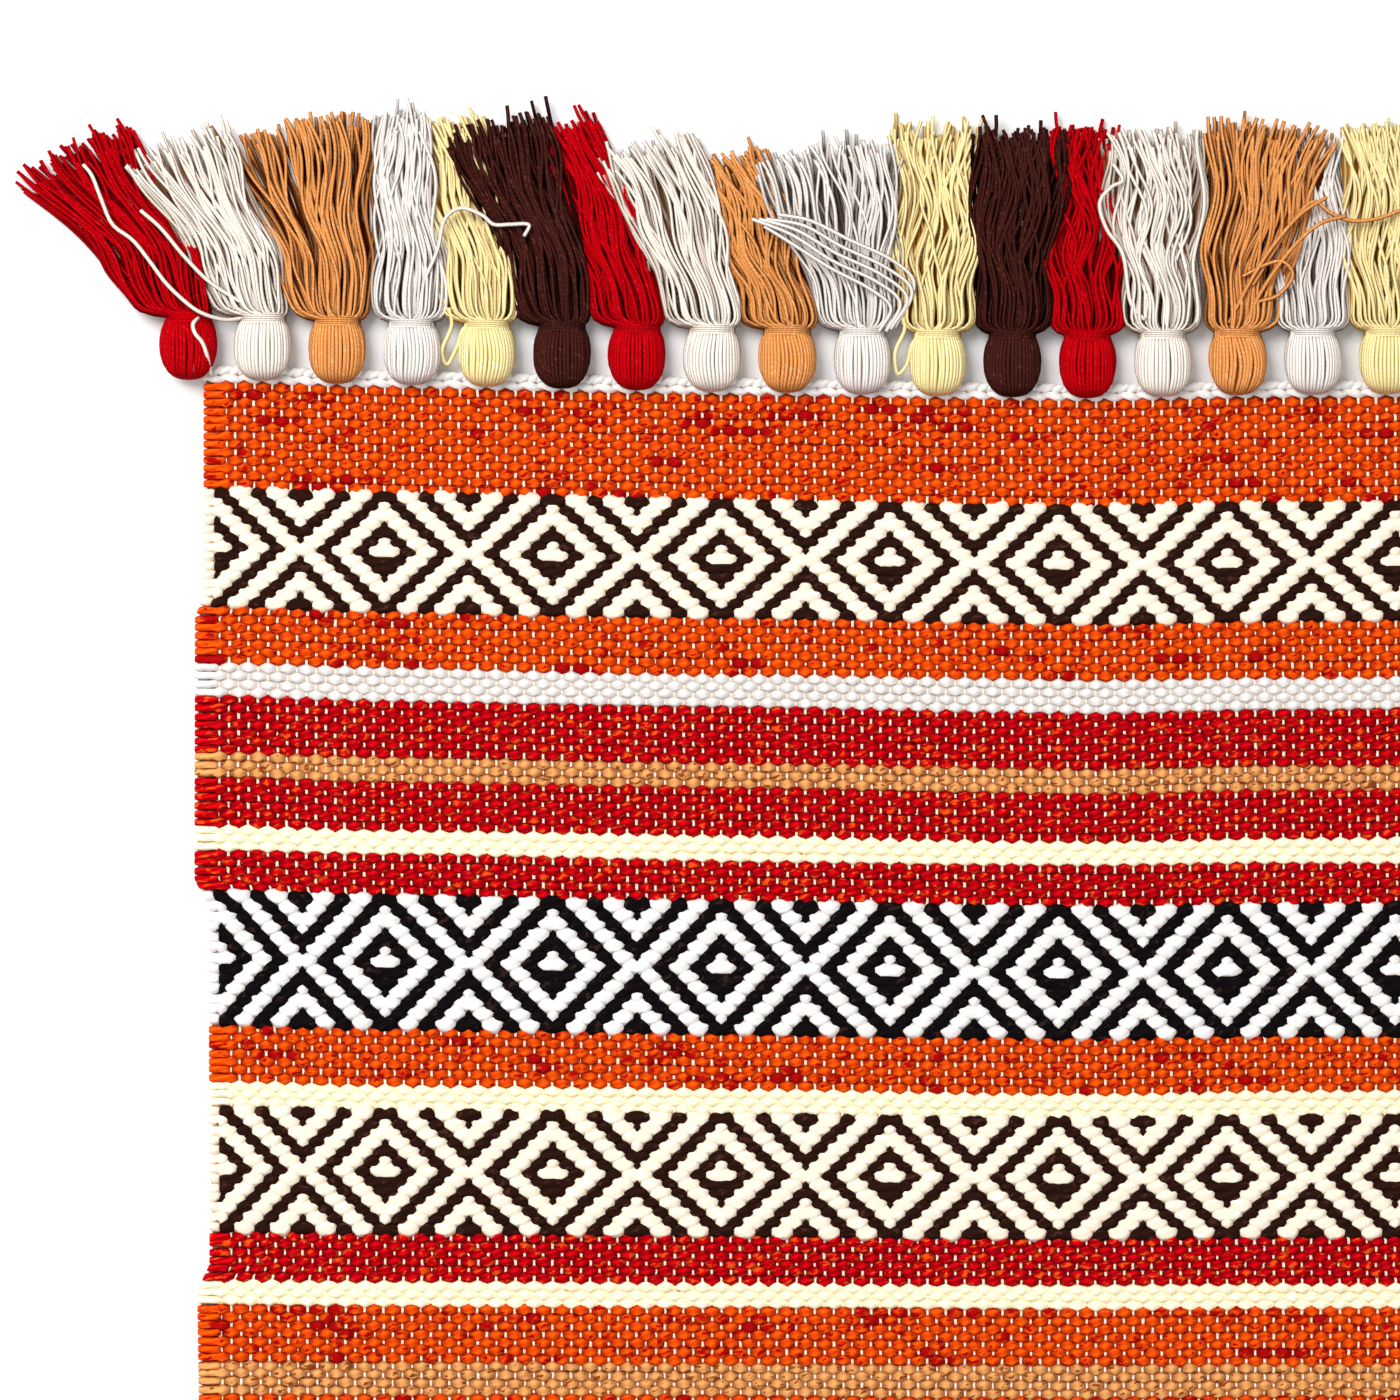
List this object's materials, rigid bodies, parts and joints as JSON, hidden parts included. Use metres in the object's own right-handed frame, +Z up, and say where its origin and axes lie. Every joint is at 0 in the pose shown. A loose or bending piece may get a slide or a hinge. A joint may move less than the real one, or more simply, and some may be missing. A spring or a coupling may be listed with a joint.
{
  "type": "runner rug",
  "caption": "Flat-woven striped runner rug with diamond bands, a twined heading at each end and a row of yarn tassels; folds in half and its tassels flip over.",
  "frame": {"origin": "middle of the underside of the rug lying flat, tassels included", "axes": "+Z up out of the face of the cloth, +Y along the length towards the far end, +X across the width"},
  "size_m": [0.7522, 1.7286, 0.016],
  "materials": {
    "weft_orange": "matte",
    "weft_brown": "matte",
    "weft_red": "matte",
    "warp": "matte",
    "heading": "matte",
    "tassel_red": "matte",
    "tassel_ivory": "matte",
    "tassel_tan": "matte",
    "tassel_grey": "matte",
    "tassel_yellow": "matte",
    "tassel_brown": "matte"
  },
  "bodies": {
    "far_half": {"end_stripe_far": "weft_orange", "diamond_band_1_far": "weft_brown", "wide_stripes_far": "weft_red", "diamond_band_2_far": "weft_brown", "narrow_stripes_far": "weft_orange", "diamond_band_3_far": "weft_brown", "mixed_stripes_far": "weft_red", "centre_stripes_far": "weft_orange", "warp_far": "warp", "heading_far": "heading"},
    "near_half": {"end_stripe_near": "weft_orange", "diamond_band_1_near": "weft_brown", "wide_stripes_near": "weft_red", "diamond_band_2_near": "weft_brown", "narrow_stripes_near": "weft_orange", "diamond_band_3_near": "weft_brown", "mixed_stripes_near": "weft_red", "centre_stripes_near": "weft_orange", "warp_near": "warp", "heading_near": "heading"},
    "far_tassel_01": {"tassel_far_01": "tassel_red"},
    "far_tassel_02": {"tassel_far_02": "tassel_ivory"},
    "far_tassel_03": {"tassel_far_03": "tassel_tan"},
    "far_tassel_04": {"tassel_far_04": "tassel_grey"},
    "far_tassel_05": {"tassel_far_05": "tassel_yellow"},
    "far_tassel_06": {"tassel_far_06": "tassel_brown"},
    "far_tassel_07": {"tassel_far_07": "tassel_red"},
    "far_tassel_08": {"tassel_far_08": "tassel_ivory"},
    "far_tassel_09": {"tassel_far_09": "tassel_tan"},
    "far_tassel_10": {"tassel_far_10": "tassel_grey"},
    "far_tassel_11": {"tassel_far_11": "tassel_yellow"},
    "far_tassel_12": {"tassel_far_12": "tassel_brown"},
    "far_tassel_13": {"tassel_far_13": "tassel_red"},
    "far_tassel_14": {"tassel_far_14": "tassel_ivory"},
    "far_tassel_15": {"tassel_far_15": "tassel_tan"},
    "far_tassel_16": {"tassel_far_16": "tassel_grey"},
    "far_tassel_17": {"tassel_far_17": "tassel_yellow"},
    "far_tassel_18": {"tassel_far_18": "tassel_brown"},
    "far_tassel_19": {"tassel_far_19": "tassel_red"},
    "far_tassel_20": {"tassel_far_20": "tassel_ivory"},
    "near_tassel_01": {"tassel_near_01": "tassel_red"},
    "near_tassel_02": {"tassel_near_02": "tassel_ivory"},
    "near_tassel_03": {"tassel_near_03": "tassel_tan"},
    "near_tassel_04": {"tassel_near_04": "tassel_grey"},
    "near_tassel_05": {"tassel_near_05": "tassel_yellow"},
    "near_tassel_06": {"tassel_near_06": "tassel_brown"},
    "near_tassel_07": {"tassel_near_07": "tassel_red"},
    "near_tassel_08": {"tassel_near_08": "tassel_ivory"},
    "near_tassel_09": {"tassel_near_09": "tassel_tan"},
    "near_tassel_10": {"tassel_near_10": "tassel_grey"},
    "near_tassel_11": {"tassel_near_11": "tassel_yellow"},
    "near_tassel_12": {"tassel_near_12": "tassel_brown"},
    "near_tassel_13": {"tassel_near_13": "tassel_red"},
    "near_tassel_14": {"tassel_near_14": "tassel_ivory"},
    "near_tassel_15": {"tassel_near_15": "tassel_tan"},
    "near_tassel_16": {"tassel_near_16": "tassel_grey"},
    "near_tassel_17": {"tassel_near_17": "tassel_yellow"},
    "near_tassel_18": {"tassel_near_18": "tassel_brown"},
    "near_tassel_19": {"tassel_near_19": "tassel_red"},
    "near_tassel_20": {"tassel_near_20": "tassel_ivory"}
  },
  "joints": [
    {"name": "half_fold", "type": "hinge", "parent": "far_half", "child": "near_half", "pos_m": [0, 0, 0.0056], "axis": [-1, 0, 0], "range_deg": [0, 170]},
    {"name": "far_tassel_01_flip", "type": "hinge", "parent": "far_half", "child": "far_tassel_01", "pos_m": [-0.305, 0.7503, 0.01085], "axis": [1, 0, 0], "range_deg": [0, 175]},
    {"name": "far_tassel_02_flip", "type": "hinge", "parent": "far_half", "child": "far_tassel_02", "pos_m": [-0.27289, 0.7503, 0.01085], "axis": [1, 0, 0], "range_deg": [0, 175]},
    {"name": "far_tassel_03_flip", "type": "hinge", "parent": "far_half", "child": "far_tassel_03", "pos_m": [-0.24079, 0.7503, 0.01085], "axis": [1, 0, 0], "range_deg": [0, 175]},
    {"name": "far_tassel_04_flip", "type": "hinge", "parent": "far_half", "child": "far_tassel_04", "pos_m": [-0.20868, 0.7503, 0.01085], "axis": [1, 0, 0], "range_deg": [0, 175]},
    {"name": "far_tassel_05_flip", "type": "hinge", "parent": "far_half", "child": "far_tassel_05", "pos_m": [-0.17658, 0.7503, 0.01085], "axis": [1, 0, 0], "range_deg": [0, 175]},
    {"name": "far_tassel_06_flip", "type": "hinge", "parent": "far_half", "child": "far_tassel_06", "pos_m": [-0.14447, 0.7503, 0.01085], "axis": [1, 0, 0], "range_deg": [0, 175]},
    {"name": "far_tassel_07_flip", "type": "hinge", "parent": "far_half", "child": "far_tassel_07", "pos_m": [-0.11237, 0.7503, 0.01085], "axis": [1, 0, 0], "range_deg": [0, 175]},
    {"name": "far_tassel_08_flip", "type": "hinge", "parent": "far_half", "child": "far_tassel_08", "pos_m": [-0.08026, 0.7503, 0.01085], "axis": [1, 0, 0], "range_deg": [0, 175]},
    {"name": "far_tassel_09_flip", "type": "hinge", "parent": "far_half", "child": "far_tassel_09", "pos_m": [-0.04816, 0.7503, 0.01085], "axis": [1, 0, 0], "range_deg": [0, 175]},
    {"name": "far_tassel_10_flip", "type": "hinge", "parent": "far_half", "child": "far_tassel_10", "pos_m": [-0.01605, 0.7503, 0.01085], "axis": [1, 0, 0], "range_deg": [0, 175]},
    {"name": "far_tassel_11_flip", "type": "hinge", "parent": "far_half", "child": "far_tassel_11", "pos_m": [0.01605, 0.7503, 0.01085], "axis": [1, 0, 0], "range_deg": [0, 175]},
    {"name": "far_tassel_12_flip", "type": "hinge", "parent": "far_half", "child": "far_tassel_12", "pos_m": [0.04816, 0.7503, 0.01085], "axis": [1, 0, 0], "range_deg": [0, 175]},
    {"name": "far_tassel_13_flip", "type": "hinge", "parent": "far_half", "child": "far_tassel_13", "pos_m": [0.08026, 0.7503, 0.01085], "axis": [1, 0, 0], "range_deg": [0, 175]},
    {"name": "far_tassel_14_flip", "type": "hinge", "parent": "far_half", "child": "far_tassel_14", "pos_m": [0.11237, 0.7503, 0.01085], "axis": [1, 0, 0], "range_deg": [0, 175]},
    {"name": "far_tassel_15_flip", "type": "hinge", "parent": "far_half", "child": "far_tassel_15", "pos_m": [0.14447, 0.7503, 0.01085], "axis": [1, 0, 0], "range_deg": [0, 175]},
    {"name": "far_tassel_16_flip", "type": "hinge", "parent": "far_half", "child": "far_tassel_16", "pos_m": [0.17658, 0.7503, 0.01085], "axis": [1, 0, 0], "range_deg": [0, 175]},
    {"name": "far_tassel_17_flip", "type": "hinge", "parent": "far_half", "child": "far_tassel_17", "pos_m": [0.20868, 0.7503, 0.01085], "axis": [1, 0, 0], "range_deg": [0, 175]},
    {"name": "far_tassel_18_flip", "type": "hinge", "parent": "far_half", "child": "far_tassel_18", "pos_m": [0.24079, 0.7503, 0.01085], "axis": [1, 0, 0], "range_deg": [0, 175]},
    {"name": "far_tassel_19_flip", "type": "hinge", "parent": "far_half", "child": "far_tassel_19", "pos_m": [0.27289, 0.7503, 0.01085], "axis": [1, 0, 0], "range_deg": [0, 175]},
    {"name": "far_tassel_20_flip", "type": "hinge", "parent": "far_half", "child": "far_tassel_20", "pos_m": [0.305, 0.7503, 0.01085], "axis": [1, 0, 0], "range_deg": [0, 175]},
    {"name": "near_tassel_01_flip", "type": "hinge", "parent": "near_half", "child": "near_tassel_01", "pos_m": [0.305, -0.7503, 0.01085], "axis": [-1, 0, 0], "range_deg": [0, 175]},
    {"name": "near_tassel_02_flip", "type": "hinge", "parent": "near_half", "child": "near_tassel_02", "pos_m": [0.27289, -0.7503, 0.01085], "axis": [-1, 0, 0], "range_deg": [0, 175]},
    {"name": "near_tassel_03_flip", "type": "hinge", "parent": "near_half", "child": "near_tassel_03", "pos_m": [0.24079, -0.7503, 0.01085], "axis": [-1, 0, 0], "range_deg": [0, 175]},
    {"name": "near_tassel_04_flip", "type": "hinge", "parent": "near_half", "child": "near_tassel_04", "pos_m": [0.20868, -0.7503, 0.01085], "axis": [-1, 0, 0], "range_deg": [0, 175]},
    {"name": "near_tassel_05_flip", "type": "hinge", "parent": "near_half", "child": "near_tassel_05", "pos_m": [0.17658, -0.7503, 0.01085], "axis": [-1, 0, 0], "range_deg": [0, 175]},
    {"name": "near_tassel_06_flip", "type": "hinge", "parent": "near_half", "child": "near_tassel_06", "pos_m": [0.14447, -0.7503, 0.01085], "axis": [-1, 0, 0], "range_deg": [0, 175]},
    {"name": "near_tassel_07_flip", "type": "hinge", "parent": "near_half", "child": "near_tassel_07", "pos_m": [0.11237, -0.7503, 0.01085], "axis": [-1, 0, 0], "range_deg": [0, 175]},
    {"name": "near_tassel_08_flip", "type": "hinge", "parent": "near_half", "child": "near_tassel_08", "pos_m": [0.08026, -0.7503, 0.01085], "axis": [-1, 0, 0], "range_deg": [0, 175]},
    {"name": "near_tassel_09_flip", "type": "hinge", "parent": "near_half", "child": "near_tassel_09", "pos_m": [0.04816, -0.7503, 0.01085], "axis": [-1, 0, 0], "range_deg": [0, 175]},
    {"name": "near_tassel_10_flip", "type": "hinge", "parent": "near_half", "child": "near_tassel_10", "pos_m": [0.01605, -0.7503, 0.01085], "axis": [-1, 0, 0], "range_deg": [0, 175]},
    {"name": "near_tassel_11_flip", "type": "hinge", "parent": "near_half", "child": "near_tassel_11", "pos_m": [-0.01605, -0.7503, 0.01085], "axis": [-1, 0, 0], "range_deg": [0, 175]},
    {"name": "near_tassel_12_flip", "type": "hinge", "parent": "near_half", "child": "near_tassel_12", "pos_m": [-0.04816, -0.7503, 0.01085], "axis": [-1, 0, 0], "range_deg": [0, 175]},
    {"name": "near_tassel_13_flip", "type": "hinge", "parent": "near_half", "child": "near_tassel_13", "pos_m": [-0.08026, -0.7503, 0.01085], "axis": [-1, 0, 0], "range_deg": [0, 175]},
    {"name": "near_tassel_14_flip", "type": "hinge", "parent": "near_half", "child": "near_tassel_14", "pos_m": [-0.11237, -0.7503, 0.01085], "axis": [-1, 0, 0], "range_deg": [0, 175]},
    {"name": "near_tassel_15_flip", "type": "hinge", "parent": "near_half", "child": "near_tassel_15", "pos_m": [-0.14447, -0.7503, 0.01085], "axis": [-1, 0, 0], "range_deg": [0, 175]},
    {"name": "near_tassel_16_flip", "type": "hinge", "parent": "near_half", "child": "near_tassel_16", "pos_m": [-0.17658, -0.7503, 0.01085], "axis": [-1, 0, 0], "range_deg": [0, 175]},
    {"name": "near_tassel_17_flip", "type": "hinge", "parent": "near_half", "child": "near_tassel_17", "pos_m": [-0.20868, -0.7503, 0.01085], "axis": [-1, 0, 0], "range_deg": [0, 175]},
    {"name": "near_tassel_18_flip", "type": "hinge", "parent": "near_half", "child": "near_tassel_18", "pos_m": [-0.24079, -0.7503, 0.01085], "axis": [-1, 0, 0], "range_deg": [0, 175]},
    {"name": "near_tassel_19_flip", "type": "hinge", "parent": "near_half", "child": "near_tassel_19", "pos_m": [-0.27289, -0.7503, 0.01085], "axis": [-1, 0, 0], "range_deg": [0, 175]},
    {"name": "near_tassel_20_flip", "type": "hinge", "parent": "near_half", "child": "near_tassel_20", "pos_m": [-0.305, -0.7503, 0.01085], "axis": [-1, 0, 0], "range_deg": [0, 175]}
  ]
}
